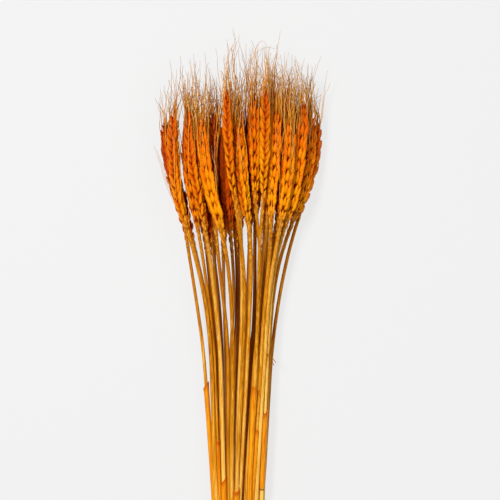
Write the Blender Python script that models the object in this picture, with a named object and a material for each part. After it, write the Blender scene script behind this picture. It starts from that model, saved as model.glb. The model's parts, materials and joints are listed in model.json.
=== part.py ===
# Bunch of dried wheat, laid down: bearded ears on their straws, gathered by a wound twine tie.
# Metres, +Z up. The straws run along +Y from the cut ends to the ears, and the bunch lies on Z = 0.
# The layout is worked out in millimetres from the tie (Y = 0) and moved to the origin at the end.

import math
import random

import bmesh
import bpy
import numpy as np
from mathutils import Vector
from mathutils.bvhtree import BVHTree

MM = 0.001
SEED = 41

# Lengths along the bunch, measured from the middle of the tie
CUT_END_Y = -100.0
CUT_END_SPREAD = 7.0
TIE_HALF_WIDTH = 6.5

# Straw: radius at the cut end and just under the ear
STRAW_RADIUS_LOW = 1.6
STRAW_RADIUS_TOP = 1.15
STRAW_RING_PLACES = [-45.0, -7.5, 7.5, 62.0, 124.0, 186.0, 226.0, 256.0, 282.0, 306.0]

# Ear: two rows of spikelets, one each side of the stalk, raised from the ear's surface
ROW_RADIUS = 4.9
FAN_RADIUS = 5.5
SPIKELETS_PER_ROW = 8
RING_SIDES = 6

# Awns: long bristles from the uppermost spikelets
AWN_WIDTH = 0.95
AWN_REACH = (30.0, 50.0)
AWN_CLEARANCE = 1.1
AWN_TRIES = 90
AWN_LEAN = 0.3
AWN_SIDE_LIMIT = 76.0
AWN_TOP_LIMIT = 58.0
CROWN_SPREAD = (0.0, 0.2)
SIDE_SPREAD = (0.02, 0.34)

# Packing: spacing of the places where the head is packed, how strongly a stalk is pulled to its
# place across and in height (in the head, in the straw), and how often this is repeated
HEAD_STEP = 12.0
PULL_ACROSS = {"shown": 0.12, "hidden": 0.04, "straw": 0.12}
PULL_HEIGHT = {"head": 0.03, "straw": 0.04}
PUSH = 0.36
ROUNDING_STEPS = 3
SETTLE_STEPS = 1000
LOOSE_STEPS = 160
FLOOR_GAP = 0.15
TIE_CENTRE_HEIGHT = 11.0
HEAD_CENTRE_HEIGHT = 26.0
PACK_GAP = 0.45

# Twine: turns side by side round the straws, flat where the bunch rests on them
TWINE = 2.3
TWINE_TURNS = 5
TIE_SIDES = 20
TIE_GAP = 0.4

# Every ear: x and y at its foot, x and y at its tip, height of its middle, its turn about its own
# length in degrees (0 shows the braid of the two rows of spikelets, 90 shows the fans of one row),
# how far its middle bows sideways, and x of its straw at each of STRAW_PLACES
SHOWN_EARS = [
    (-46.0, 327, -64.5, 418, 17.5, 60, -1.9, -43.2, -40.0, -36.5, -30.6, -21.6),
    (-44.8, 328, -54.2, 429, 28.5, 20, -5.6, -38.0, -32.9, -28.3, -23.8, -20.0),
    (-35.0, 326, -44.0, 424, 24, 80, -1.7, -31.0, -29.1, -25.5, -21.2, -17.0),
    (-29.4, 327, -43.0, 428, 34, 25, -2.1, -25.1, -22.8, -20.6, -15.9, -12.8),
    (-15.0, 326, -32.0, 421, 42, 85, -5.0, -10.6, -7.9, -6.6, -4.9, -6.5),
    (-20.0, 332, -22.0, 428, 27, 10, 0.0, -18.5, -16.0, -13.0, -9.0, -8.9),
    (-3.4, 350, -10.0, 445, 46, 5, -2.0, 2.7, 5.4, 5.1, 3.7, -2.3),
    (1.0, 340, 0.0, 432, 29, 60, -0.6, 1.7, 2.8, 3.1, 1.6, -4.4),
    (8.0, 332, 0.0, 416, 40, 40, -2.1, 10.8, 10.8, 9.2, 7.8, 0.7),
    (13.2, 354, 12.0, 441, 35, 70, 0.0, 17.8, 19.9, 18.6, 14.3, 5.6),
    (21.0, 350, 22.0, 445, 47, -5, 0.4, 16.7, 16.7, 16.4, 15.3, 8.6),
    (25.0, 347, 29.0, 450, 28, 40, 0.6, 22.9, 22.1, 20.7, 18.7, 10.7),
    (28.0, 338, 32.0, 428, 40, 85, 0.4, 27.0, 24.8, 22.2, 20.1, 11.6),
    (35.0, 343, 41.0, 446, 29, 15, 2.1, 29.6, 27.4, 25.5, 23.2, 16.0),
    (36.0, 334, 44.0, 422, 38, 75, 1.0, 31.0, 27.0, 24.0, 22.1, 14.7),
    (42.0, 337, 55.0, 434, 33, 80, 2.2, 32.0, 29.4, 26.6, 24.5, 19.3),
    (48.0, 337, 60.0, 432, 21, 50, 3.4, 35.4, 31.3, 28.2, 25.7, 20.3),
    (54.0, 344, 67.0, 422, 12, 10, 3.2, 41.9, 37.8, 33.8, 28.0, 20.6),
]
LOWER_EARS = [
    (-7.6, 331, -10.2, 423, 24, 35, 0.0, -5.5, -3.8, -4.0, -6.9, -8.4),
    (14.4, 344, 20.4, 434, 24, 110, 0.0, 12.9, 13.9, 13.7, 11.4, 5.1),
    (39.9, 338, 51.9, 423, 24, 150, 2.0, 30.6, 26.8, 22.4, 17.5, 10.7),
    (-28.9, 326, -37.4, 415, 17, 70, -2.0, -27.2, -25.7, -23.4, -19.2, -15.3),
    (-22.1, 332, -28.1, 416, 17, 165, -3.0, -22.9, -20.8, -18.9, -17.0, -14.6),
    (-3.8, 326, -5.1, 422, 17, 95, 0.0, -2.4, -0.8, -1.6, -2.7, -7.3),
    (8.9, 337, 11.9, 428, 17, 20, 0.0, 9.6, 9.5, 7.8, 6.5, -1.1),
    (22.9, 338, 34.9, 427, 17, 130, 1.0, 21.2, 20.9, 17.8, 13.2, 5.9),
    (35.7, 337, 51.0, 422, 17, 55, 2.0, 27.2, 23.8, 20.6, 16.3, 8.2),
    (-43.5, 331, -60.5, 416, 6.6, 140, -5.0, -37.8, -32.5, -27.7, -22.6, -18.4),
    (-25.5, 323, -38.2, 411, 6.6, 15, -3.0, -22.1, -19.4, -17.0, -14.2, -13.9),
    (-12.8, 330, -18.7, 416, 6.6, 100, -0.5, -13.7, -13.3, -12.9, -11.6, -11.5),
    (0.4, 328, -2.5, 422, 6.6, 45, 0.0, 0.0, 1.0, 0.4, -0.4, -5.1),
    (9.3, 335, 15.3, 427, 6.6, 160, 0.0, 8.2, 8.3, 6.9, 5.1, -0.9),
    (23.8, 330, 34.0, 422, 6.6, 80, 1.0, 20.2, 18.7, 15.6, 9.9, 2.1),
    (41.6, 337, 54.4, 420, 6.6, 120, 2.0, 32.3, 28.5, 24.7, 21.0, 15.2),
]
STRAW_PLACES = (305.0, 285.5, 263.5, 226.0, 100.0)
# Below the last of these places: x as a share of x there
STRAW_GATHER = [(-110.0, 0.89), (-40.0, 0.72), (0.0, 0.63), (40.0, 0.76), (100.0, 1.0)]
STRAW_WANDER = 2.5
# How a stalk's height goes from its place in the tie (0) to its place in the head (1)
STRAW_RISE = [(0.0, 0.0), (93.0, 0.18), (175.0, 0.29), (230.0, 0.45), (305.0, 0.79), (335.0, 1.0)]
TIE_HEIGHT_SHARE = 0.27


def lerp(a, b, t):
    return a + (b - a) * t


def between(table, value):
    """Reads a list of (place, amount) pairs, straight between its entries."""
    places = [p for p, _ in table]
    amounts = [a for _, a in table]
    return float(np.interp(value, places, amounts))


def list_ears(rng):
    """Every ear's foot, tip, height, turn, bow and straw, the shown ones first."""
    ears = []
    for foot_x, foot_y, tip_x, tip_y, height, turn, bow, *straw in SHOWN_EARS + LOWER_EARS:
        ears.append({"foot": (foot_x, foot_y), "tip": (tip_x, tip_y), "height": height,
                     "turn": math.radians(turn), "bow": bow, "straw": straw,
                     "shown": len(ears) < len(SHOWN_EARS)})
    for ear in ears:
        ear["end"] = CUT_END_Y + rng.uniform(-CUT_END_SPREAD, CUT_END_SPREAD)
        ear["wander"] = rng.uniform(-STRAW_WANDER, STRAW_WANDER)
    return ears


def stations():
    """Places along Y where the stalks are packed: close together in the head, wider below."""
    low = [-112.0, -80.0, -45.0, -TIE_HALF_WIDTH - 1.0, TIE_HALF_WIDTH + 1.0, 34.0]
    straw = list(np.arange(60.0, 301.0, 20.0))
    head = list(np.arange(318.0, 505.0, HEAD_STEP))
    return np.array(low + straw + head)


def ear_swell(t):
    """Fullness of the ear from its foot (0) to its tip (1)."""
    table = [(0.0, 0.64), (0.1, 0.84), (0.25, 1.0), (0.6, 0.98), (0.85, 0.82), (1.0, 0.60)]
    return between(table, t)


def lane_radius(ear, y):
    """Room that a stalk takes up around its centre line near a place along Y."""
    foot, tip = ear["foot"][1], ear["tip"][1]
    length = tip - foot
    if y < foot - HEAD_STEP:
        t = (y - CUT_END_Y) / (foot - CUT_END_Y)
        return lerp(STRAW_RADIUS_LOW, STRAW_RADIUS_TOP, max(t, 0.0))
    if y < tip + HEAD_STEP:
        near = [(y + reach - foot) / length for reach in (-HEAD_STEP / 2.0, 0.0, HEAD_STEP / 2.0)]
        return FAN_RADIUS * max(ear_swell(t) for t in near) + 0.1
    if y < tip + 30.0:
        return 3.2
    return 1.0


def target_line(ear, ys):
    """Where a stalk's centre line would lie if it had no neighbours."""
    (foot_x, foot_y), (tip_x, tip_y) = ear["foot"], ear["tip"]
    line = np.zeros((len(ys), 2))
    for k, y in enumerate(ys):
        if y >= foot_y:
            t = (y - foot_y) / (tip_y - foot_y)
            bow = 4.0 * t * (1.0 - t) if t < 1.0 else 2.0 * (1.0 - t)
            line[k] = (lerp(foot_x, tip_x, t) + ear["bow"] * bow, ear["height"])
            continue
        places = (foot_y,) + STRAW_PLACES
        x = np.interp(y, places[::-1], [*ear["straw"][::-1], foot_x])
        if y < places[-1]:
            stray = ear["wander"] * math.sin(math.pi * max(y / places[-1], 0.0))
            x = ear["straw"][-1] * between(STRAW_GATHER, y) + stray
        low_height = TIE_CENTRE_HEIGHT + (ear["height"] - HEAD_CENTRE_HEIGHT) * TIE_HEIGHT_SHARE
        line[k] = (x, lerp(low_height, ear["height"], between(STRAW_RISE, y)))
    return line


def middles(lines, ys):
    """For every place but the ends, the point straight between the places next to it."""
    before = (ys[1:-1] - ys[:-2]) / (ys[2:] - ys[:-2])
    return lines[:, :-2] + (lines[:, 2:] - lines[:, :-2]) * before[None, :, None]


def settle(ears, ys):
    """Packs the stalks: pulls each towards its own place, shares each push out along the stalk, and
    pushes it off the others and off the surface that the bunch lies on."""
    lines = np.array([target_line(ear, ys) for ear in ears])
    for _ in range(ROUNDING_STEPS):
        lines[:, 1:-1] += 0.3 * (middles(lines, ys) - lines[:, 1:-1])
    radii = np.array([[lane_radius(ear, y) for y in ys] for ear in ears])
    wanted = lines.copy()
    pull = np.zeros_like(lines)
    for n, ear in enumerate(ears):
        in_head = ys > ear["foot"][1] - 20.0
        across = PULL_ACROSS["shown" if ear["shown"] else "hidden"]
        pull[n, :, 0] = np.where(in_head, across, PULL_ACROSS["straw"])
        pull[n, :, 1] = np.where(in_head, PULL_HEIGHT["head"], PULL_HEIGHT["straw"])
    in_tie = np.abs(ys) < TIE_HALF_WIDTH + 2.0
    floor_rise = np.where(in_tie, TWINE + TIE_GAP + 0.1, FLOOR_GAP)
    others = ~np.eye(len(ears), dtype=bool)
    room = radii[:, None, :] + radii[None, :, :] + PACK_GAP
    for step in range(SETTLE_STEPS):
        ease = 1.0 - step / SETTLE_STEPS
        if step < SETTLE_STEPS - LOOSE_STEPS:
            lines += pull * ease * (wanted - lines)
            moved = lines - wanted
            lines[:, 1:-1] += (0.35 * ease + 0.05) * (middles(moved, ys) - moved[:, 1:-1])
        apart = lines[:, None] - lines[None, :]
        gap = np.sqrt((apart ** 2).sum(axis=3)) + 1e-9
        short = np.where(others[:, :, None], np.maximum(room - gap, 0.0), 0.0)
        push = (apart / gap[..., None]) * short[..., None]
        lines += PUSH * push.sum(axis=1)
        lowest = radii + floor_rise[None, :]
        lines[:, :, 1] = np.maximum(lines[:, :, 1], lowest)
    return lines


def centre(line, ys, y):
    return np.array([np.interp(y, ys, line[:, 0]), np.interp(y, ys, line[:, 1])])


def straw_rings(ear):
    """Places along Y of the straw's rings, the cut end first."""
    foot = ear["foot"][1]
    low = [y for y in STRAW_RING_PLACES if y < foot - 14.0]
    return [ear["end"]] + low + [foot - 7.0]


def ring_points(line, ys, y, radii, turn, offsets):
    """A ring round the centre line, each point at its own place along it."""
    points = []
    for i in range(RING_SIDES):
        angle = 2.0 * math.pi * i / RING_SIDES + turn
        middle = centre(line, ys, y + offsets[i])
        points.append((middle[0] + radii[i] * math.cos(angle), y + offsets[i],
                       middle[1] + radii[i] * math.sin(angle)))
    return points


def ear_rings(ear, line, ys):
    """Rings of the ear. Each spikelet is a root ring, a full ring and an overhanging tip ring, and
    the rings are slanted so that the two rows take turns."""
    foot, tip = ear["foot"][1], ear["tip"][1]
    pitch = (tip - foot) / (SPIKELETS_PER_ROW + 0.75)
    around = [2.0 * math.pi * i / RING_SIDES for i in range(RING_SIDES)]
    slant = [0.25 * pitch * (1.0 - math.cos(a)) for a in around]
    rings = []
    shapes = (("root", 0.0, 0.58, 0.0), ("full", 0.5, 0.88, 0.0), ("tip", 1.08, 1.0, 0.30))
    for k in range(SPIKELETS_PER_ROW):
        for name, place, size, point in shapes:
            y = foot + (k + place) * pitch
            swell = ear_swell((y - foot) / (tip - foot))
            radii, offsets = [], []
            for i, a in enumerate(around):
                side = abs(math.cos(a))
                wide = lerp(FAN_RADIUS, ROW_RADIUS, side ** 2)
                radii.append(wide * size * swell)
                offsets.append(slant[i] + pitch * point * (2.0 * side - 1.0))
            rings.append((name, ring_points(line, ys, y, radii, ear["turn"], offsets)))
    return rings


def skin(bm, low, high):
    """Joins two rings of the same count with quads cut into triangles."""
    count = len(low)
    faces = []
    for i in range(count):
        j = (i + 1) % count
        faces.append(bm.faces.new((low[i], low[j], high[j])))
        faces.append(bm.faces.new((low[i], high[j], high[i])))
    return faces


def build_stalk(ear, line, ys):
    """One stalk as a closed mesh, and the faces that its awns grow from."""
    bm = bmesh.new()
    foot, tip = ear["foot"][1], ear["tip"][1]
    level = [0.0] * RING_SIDES
    rings = []
    for y in straw_rings(ear):
        t = (y - CUT_END_Y) / (foot - CUT_END_Y)
        r = lerp(STRAW_RADIUS_LOW, STRAW_RADIUS_TOP, t)
        rings.append(("straw", ring_points(line, ys, y, [r] * RING_SIDES, ear["turn"], level)))
    rings += ear_rings(ear, line, ys)
    made = [(name, [bm.verts.new(p) for p in points]) for name, points in rings]
    bm.faces.new(list(reversed(made[0][1])))
    growing = []
    for (low_name, low), (_, high) in zip(made, made[1:]):
        faces = skin(bm, low, high)
        if low_name == "tip":
            growing.append(faces)
    crown = centre(line, ys, tip)
    top_ring = made[-1][1]
    apex = bm.verts.new((crown[0], tip + 1.0, crown[1]))
    growing.append([bm.faces.new((top_ring[i], top_ring[(i + 1) % RING_SIDES], apex))
                    for i in range(RING_SIDES)])
    return bm, growing


def segment_gap(a0, a1, b0, b1):
    """Least distance from segment a to each of many segments b, sampled along a."""
    t = np.linspace(0.0, 1.0, 25)[:, None, None]
    points = a0 + (a1 - a0) * t
    along = b1 - b0
    length = (along ** 2).sum(axis=1) + 1e-12
    s = ((points - b0) * along).sum(axis=2) / length
    nearest = b0 + along * np.clip(s, 0.0, 1.0)[..., None]
    return np.sqrt(((points - nearest) ** 2).sum(axis=2)).min(axis=0)


def body_segments(ears, lines, ys):
    """The ears and straws in the head as thick segments: start, end, radius, stalk number."""
    starts, ends, radii, owner = [], [], [], []
    for n, ear in enumerate(ears):
        for k in range(len(ys) - 1):
            if ys[k] < 300.0 or ys[k] > ear["tip"][1]:
                continue
            starts.append((lines[n][k][0], ys[k], lines[n][k][1]))
            upper = min(ys[k + 1], ear["tip"][1] + 2.0)
            high = centre(lines[n], ys, upper)
            ends.append((high[0], upper, high[1]))
            radii.append(max(lane_radius(ear, ys[k]), lane_radius(ear, upper)))
            owner.append(n)
    return np.array(starts), np.array(ends), np.array(radii), np.array(owner)


def awn_root(face, line, ys):
    """A small triangle on the face close to its outermost corner, its middle, and the way out from
    the stalk there."""
    spots = [np.array(v.co[:]) for v in face.verts]
    outs = [np.array([p[0], p[2]]) - centre(line, ys, p[1]) for p in spots]
    far = max(range(3), key=lambda i: np.linalg.norm(outs[i]))
    root = sum(spots) * 0.2 + spots[far] * 0.4
    out = outs[far] / (np.linalg.norm(outs[far]) + 1e-9)
    size = max(np.linalg.norm(spots[i] - spots[(i + 1) % 3]) for i in range(3))
    share = min(AWN_WIDTH / size, 0.5)
    return [root + (p - root) * share for p in spots], root, out


def clears_own_ear(tree, corners, apex):
    """Whether the three edges of an awn reach its point without meeting its own ear."""
    for corner in corners:
        way = Vector(apex - corner)
        start = Vector(corner) + way.normalized() * 0.2
        if tree.ray_cast(start, way, way.length)[0] is not None:
            return False
    return True


def grow_awns(stalks, ears, lines, ys, rng):
    """Pulls an awn out of chosen faces of every ear, leaning each so that it clears the rest."""
    starts, ends, radii, owner = body_segments(ears, lines, ys)
    placed_a, placed_b = [], []
    for n, ear in enumerate(ears):
        bm, growing = stalks[n]
        tree = BVHTree.FromBMesh(bm)
        tip = ear["tip"][1]
        lean = (centre(lines[n], ys, tip) - centre(lines[n], ys, tip - 40.0)) / 40.0
        crown = [(growing[-1][i], CROWN_SPREAD) for i in (0, 2, 4)]
        sides = [(growing[-2][i], SIDE_SPREAD) for i in (1, 7, 4, 10)]
        sides += [(growing[-3][i], SIDE_SPREAD) for i in (1, 7)]
        for face, spread in crown + sides:
            corners, root, out = awn_root(face, lines[n], ys)
            reach = rng.uniform(*AWN_REACH)
            for attempt in range(AWN_TRIES):
                tired = attempt / AWN_TRIES
                twist = rng.uniform(-1.0, 1.0) * (0.3 + tired)
                c, s = math.cos(twist), math.sin(twist)
                side = np.array([out[0] * c - out[1] * s, out[0] * s + out[1] * c])
                length = (tip + reach - root[1]) * (1.0 - 0.5 * tired)
                drift = (lean * AWN_LEAN + side * rng.uniform(*spread)) * length
                apex = root + np.array([drift[0], length, drift[1]])
                if abs(apex[0]) > AWN_SIDE_LIMIT or not 1.2 < apex[2] < AWN_TOP_LIMIT:
                    continue
                if not clears_own_ear(tree, corners, apex):
                    continue
                gaps = segment_gap(root, apex, starts, ends) - radii
                if gaps[owner != n].min() < AWN_WIDTH / 2.0:
                    continue
                if placed_a:
                    near = segment_gap(root, apex, np.array(placed_a), np.array(placed_b))
                    if near.min() < AWN_CLEARANCE:
                        continue
                placed_a.append(root)
                placed_b.append(apex)
                pull_awn(bm, face, corners, apex)
                break


def pull_awn(bm, face, corners, apex):
    """Replaces one triangle by a small one with a long three-sided spike on it."""
    verts = list(face.verts)
    small = [bm.verts.new(list(corner)) for corner in corners]
    bm.faces.remove(face)
    point = bm.verts.new(list(apex))
    for i in range(3):
        j = (i + 1) % 3
        bm.faces.new((verts[i], verts[j], small[j]))
        bm.faces.new((verts[i], small[j], small[i]))
        bm.faces.new((small[i], small[j], point))


def build_tie(lines, ys, ears):
    """Twine wound round the straws: a closed band of ridges that follows the bundle's outline and
    is flat underneath, where the bunch rests on it."""
    edge = (-TIE_HALF_WIDTH - 1.0, TIE_HALF_WIDTH + 1.0)
    discs = []
    for n in range(len(ears)):
        for y in edge:
            discs.append((centre(lines[n], ys, y), STRAW_RADIUS_LOW))
    angles = [2.0 * math.pi * (i / TIE_SIDES) - math.pi / 2.0 for i in range(TIE_SIDES)]
    inner = []
    for a in angles:
        normal = np.array([math.cos(a), math.sin(a)])
        inner.append(max(float(c @ normal) + r for c, r in discs) + TIE_GAP)
    inner[0] = -TWINE

    def corner(i, grow):
        """Where the tangent lines i and i+1 of the outline meet, moved out by grow."""
        j = (i + 1) % TIE_SIDES
        matrix = np.array([[math.cos(angles[i]), math.sin(angles[i])],
                           [math.cos(angles[j]), math.sin(angles[j])]])
        return np.linalg.solve(matrix, np.array([inner[i] + grow, inner[j] + grow]))

    turns = TWINE_TURNS * 2 + 1
    profile = [(-TIE_HALF_WIDTH, 0.0)]
    for k in range(turns):
        y = lerp(-TIE_HALF_WIDTH, TIE_HALF_WIDTH, k / (turns - 1))
        profile.append((y, TWINE if k % 2 else TWINE * 0.62))
    profile.append((TIE_HALF_WIDTH, 0.0))
    bm = bmesh.new()
    loops = []
    for i in range(TIE_SIDES):
        flat = i in (0, TIE_SIDES - 1)
        loop = []
        for y, grow in profile:
            x, z = corner(i, TWINE if flat and grow > 0.0 else grow)
            loop.append(bm.verts.new((x, y, z)))
        loops.append(loop)
    for i in range(TIE_SIDES):
        skin(bm, loops[i], loops[(i + 1) % TIE_SIDES])
    return bm


def material(name, colour, roughness):
    mat = bpy.data.materials.new(name)
    mat.use_nodes = True
    shader = mat.node_tree.nodes["Principled BSDF"]
    shader.inputs["Base Color"].default_value = (*colour, 1.0)
    shader.inputs["Roughness"].default_value = roughness
    shader.inputs["Metallic"].default_value = 0.0
    return mat


def finish(bm, name, mat, shift):
    for v in bm.verts:
        v.co = (v.co[0] * MM + shift[0], v.co[1] * MM + shift[1], v.co[2] * MM + shift[2])
    bmesh.ops.triangulate(bm, faces=[f for f in bm.faces if len(f.verts) > 3])
    bmesh.ops.recalc_face_normals(bm, faces=bm.faces[:])
    mesh = bpy.data.meshes.new(name)
    bm.to_mesh(mesh)
    bm.free()
    mesh.materials.append(mat)
    mesh.shade_smooth()
    mesh.set_sharp_from_angle(angle=math.radians(35))
    thing = bpy.data.objects.new(name, mesh)
    bpy.context.scene.collection.objects.link(thing)
    return thing


def main():
    for thing in list(bpy.data.objects):
        bpy.data.objects.remove(thing, do_unlink=True)
    rng = random.Random(SEED)
    ears = list_ears(rng)
    ys = stations()
    lines = settle(ears, ys)
    stalks = [build_stalk(ear, line, ys) for ear, line in zip(ears, lines)]
    grow_awns(stalks, ears, lines, ys, rng)
    tie = build_tie(lines, ys, ears)
    meshes = [bm for bm, _ in stalks] + [tie]
    spots = np.array([v.co[:] for bm in meshes for v in bm.verts]) * MM
    low, high = spots.min(axis=0), spots.max(axis=0)
    shift = (-(low[0] + high[0]) / 2.0, -(low[1] + high[1]) / 2.0, -low[2])
    wheat = material("dyed wheat", (0.80, 0.22, 0.012), 0.62)
    twine = material("tie twine", (0.42, 0.28, 0.14), 0.85)
    for n, (bm, _) in enumerate(stalks):
        finish(bm, f"stalk_{n + 1:02d}", wheat, shift)
    finish(tie, "tie", twine, shift)


main()
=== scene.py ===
import json
import math
import random

import bmesh
import bpy
import numpy as np
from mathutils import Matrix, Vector

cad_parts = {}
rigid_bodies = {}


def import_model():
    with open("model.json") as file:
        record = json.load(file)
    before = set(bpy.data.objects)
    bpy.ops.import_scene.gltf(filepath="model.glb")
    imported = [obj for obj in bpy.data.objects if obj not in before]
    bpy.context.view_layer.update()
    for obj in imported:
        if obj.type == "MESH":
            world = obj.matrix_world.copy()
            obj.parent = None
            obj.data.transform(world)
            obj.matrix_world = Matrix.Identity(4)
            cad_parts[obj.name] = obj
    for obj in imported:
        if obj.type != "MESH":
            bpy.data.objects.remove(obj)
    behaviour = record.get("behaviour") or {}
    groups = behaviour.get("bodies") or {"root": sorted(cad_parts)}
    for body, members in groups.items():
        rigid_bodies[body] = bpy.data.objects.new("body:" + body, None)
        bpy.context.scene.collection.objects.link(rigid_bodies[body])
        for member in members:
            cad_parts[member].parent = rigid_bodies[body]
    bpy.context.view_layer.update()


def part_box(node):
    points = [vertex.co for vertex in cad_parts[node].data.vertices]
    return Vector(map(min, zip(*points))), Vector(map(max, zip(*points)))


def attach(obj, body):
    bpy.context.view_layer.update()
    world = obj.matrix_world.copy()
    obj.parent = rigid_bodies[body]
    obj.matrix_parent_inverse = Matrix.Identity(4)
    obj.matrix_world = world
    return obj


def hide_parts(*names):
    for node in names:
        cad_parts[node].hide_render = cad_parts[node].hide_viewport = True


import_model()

mm = 0.001
body = "root"

# Where the stalks lie, in millimetres from the middle of the tie: the same bunch as the solids.
bunch = {
    "seed": 41,
    "cutEnd": -100.0,
    "cutEndSpread": 7.0,
    "tieHalfWidth": 6.5,
    "tieMargin": 1.0,
    "strawRadiusLow": 1.6,
    "strawRadiusTop": 1.15,
    "fanRadius": 5.5,
    "fanMargin": 0.1,
    "awnFanLength": 30.0,
    "awnFanRadius": 3.2,
    "looseAwnRadius": 1.0,
    "placesBelow": (-112.0, -80.0, -45.0),
    "placeAbove": 34.0,
    "placesAlongStraws": (60.0, 301.0, 20.0),
    "placesAlongHeads": (318.0, 505.0),
    "headStep": 12.0,
    "pullAcross": {"shown": 0.12, "hidden": 0.04, "straw": 0.12},
    "pullHeight": {"head": 0.03, "straw": 0.04},
    "headOverlap": 20.0,
    "push": 0.36,
    "rounding": 0.3,
    "roundingSteps": 3,
    "stiffness": (0.05, 0.40),
    "settleSteps": 1000,
    "looseSteps": 160,
    "floorGap": 0.15,
    "tieFloorGap": 2.8,
    "tieCentreHeight": 11.0,
    "headCentreHeight": 26.0,
    "packGap": 0.45,
    "strawWander": 2.5,
    "tieHeightShare": 0.27,
}

# x and y at the ear's foot, x and y at its tip, height, turn about its own length in degrees, how far
# its middle bows sideways, and x of its straw at each of the straw places
shownEars = [
    (-46.0, 327, -64.5, 418, 17.5, 60, -1.9, -43.2, -40.0, -36.5, -30.6, -21.6),
    (-44.8, 328, -54.2, 429, 28.5, 20, -5.6, -38.0, -32.9, -28.3, -23.8, -20.0),
    (-35.0, 326, -44.0, 424, 24, 80, -1.7, -31.0, -29.1, -25.5, -21.2, -17.0),
    (-29.4, 327, -43.0, 428, 34, 25, -2.1, -25.1, -22.8, -20.6, -15.9, -12.8),
    (-15.0, 326, -32.0, 421, 42, 85, -5.0, -10.6, -7.9, -6.6, -4.9, -6.5),
    (-20.0, 332, -22.0, 428, 27, 10, 0.0, -18.5, -16.0, -13.0, -9.0, -8.9),
    (-3.4, 350, -10.0, 445, 46, 5, -2.0, 2.7, 5.4, 5.1, 3.7, -2.3),
    (1.0, 340, 0.0, 432, 29, 60, -0.6, 1.7, 2.8, 3.1, 1.6, -4.4),
    (8.0, 332, 0.0, 416, 40, 40, -2.1, 10.8, 10.8, 9.2, 7.8, 0.7),
    (13.2, 354, 12.0, 441, 35, 70, 0.0, 17.8, 19.9, 18.6, 14.3, 5.6),
    (21.0, 350, 22.0, 445, 47, -5, 0.4, 16.7, 16.7, 16.4, 15.3, 8.6),
    (25.0, 347, 29.0, 450, 28, 40, 0.6, 22.9, 22.1, 20.7, 18.7, 10.7),
    (28.0, 338, 32.0, 428, 40, 85, 0.4, 27.0, 24.8, 22.2, 20.1, 11.6),
    (35.0, 343, 41.0, 446, 29, 15, 2.1, 29.6, 27.4, 25.5, 23.2, 16.0),
    (36.0, 334, 44.0, 422, 38, 75, 1.0, 31.0, 27.0, 24.0, 22.1, 14.7),
    (42.0, 337, 55.0, 434, 33, 80, 2.2, 32.0, 29.4, 26.6, 24.5, 19.3),
    (48.0, 337, 60.0, 432, 21, 50, 3.4, 35.4, 31.3, 28.2, 25.7, 20.3),
    (54.0, 344, 67.0, 422, 12, 10, 3.2, 41.9, 37.8, 33.8, 28.0, 20.6),
]
lowerEars = [
    (-7.6, 331, -10.2, 423, 24, 35, 0.0, -5.5, -3.8, -4.0, -6.9, -8.4),
    (14.4, 344, 20.4, 434, 24, 110, 0.0, 12.9, 13.9, 13.7, 11.4, 5.1),
    (39.9, 338, 51.9, 423, 24, 150, 2.0, 30.6, 26.8, 22.4, 17.5, 10.7),
    (-28.9, 326, -37.4, 415, 17, 70, -2.0, -27.2, -25.7, -23.4, -19.2, -15.3),
    (-22.1, 332, -28.1, 416, 17, 165, -3.0, -22.9, -20.8, -18.9, -17.0, -14.6),
    (-3.8, 326, -5.1, 422, 17, 95, 0.0, -2.4, -0.8, -1.6, -2.7, -7.3),
    (8.9, 337, 11.9, 428, 17, 20, 0.0, 9.6, 9.5, 7.8, 6.5, -1.1),
    (22.9, 338, 34.9, 427, 17, 130, 1.0, 21.2, 20.9, 17.8, 13.2, 5.9),
    (35.7, 337, 51.0, 422, 17, 55, 2.0, 27.2, 23.8, 20.6, 16.3, 8.2),
    (-43.5, 331, -60.5, 416, 6.6, 140, -5.0, -37.8, -32.5, -27.7, -22.6, -18.4),
    (-25.5, 323, -38.2, 411, 6.6, 15, -3.0, -22.1, -19.4, -17.0, -14.2, -13.9),
    (-12.8, 330, -18.7, 416, 6.6, 100, -0.5, -13.7, -13.3, -12.9, -11.6, -11.5),
    (0.4, 328, -2.5, 422, 6.6, 45, 0.0, 0.0, 1.0, 0.4, -0.4, -5.1),
    (9.3, 335, 15.3, 427, 6.6, 160, 0.0, 8.2, 8.3, 6.9, 5.1, -0.9),
    (23.8, 330, 34.0, 422, 6.6, 80, 1.0, 20.2, 18.7, 15.6, 9.9, 2.1),
    (41.6, 337, 54.4, 420, 6.6, 120, 2.0, 32.3, 28.5, 24.7, 21.0, 15.2),
]
strawPlaces = (305.0, 285.5, 263.5, 226.0, 100.0)
strawGather = [(-110.0, 0.89), (-40.0, 0.72), (0.0, 0.63), (40.0, 0.76), (100.0, 1.0)]
strawRise = [(0.0, 0.0), (93.0, 0.18), (175.0, 0.29), (230.0, 0.45), (305.0, 0.79), (335.0, 1.0)]
earSwellShape = [(0.0, 0.64), (0.1, 0.84), (0.25, 1.0), (0.6, 0.98), (0.85, 0.82), (1.0, 0.60)]


def mix(a, b, t):
    return a + (b - a) * t


def limit(value):
    return min(max(value, 0.0), 1.0)


def readTable(table, value):
    return float(np.interp(value, [p for p, _ in table], [a for _, a in table]))


def listEars():
    rng = random.Random(bunch["seed"])
    ears = []
    for footX, footY, tipX, tipY, height, turn, bow, *straw in shownEars + lowerEars:
        ears.append({"foot": (footX, footY), "tip": (tipX, tipY), "height": height,
                     "turn": math.radians(turn), "bow": bow, "straw": straw,
                     "shown": len(ears) < len(shownEars),
                     "end": bunch["cutEnd"] + rng.uniform(-bunch["cutEndSpread"], bunch["cutEndSpread"]),
                     "wander": rng.uniform(-bunch["strawWander"], bunch["strawWander"])})
    return ears


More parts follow.
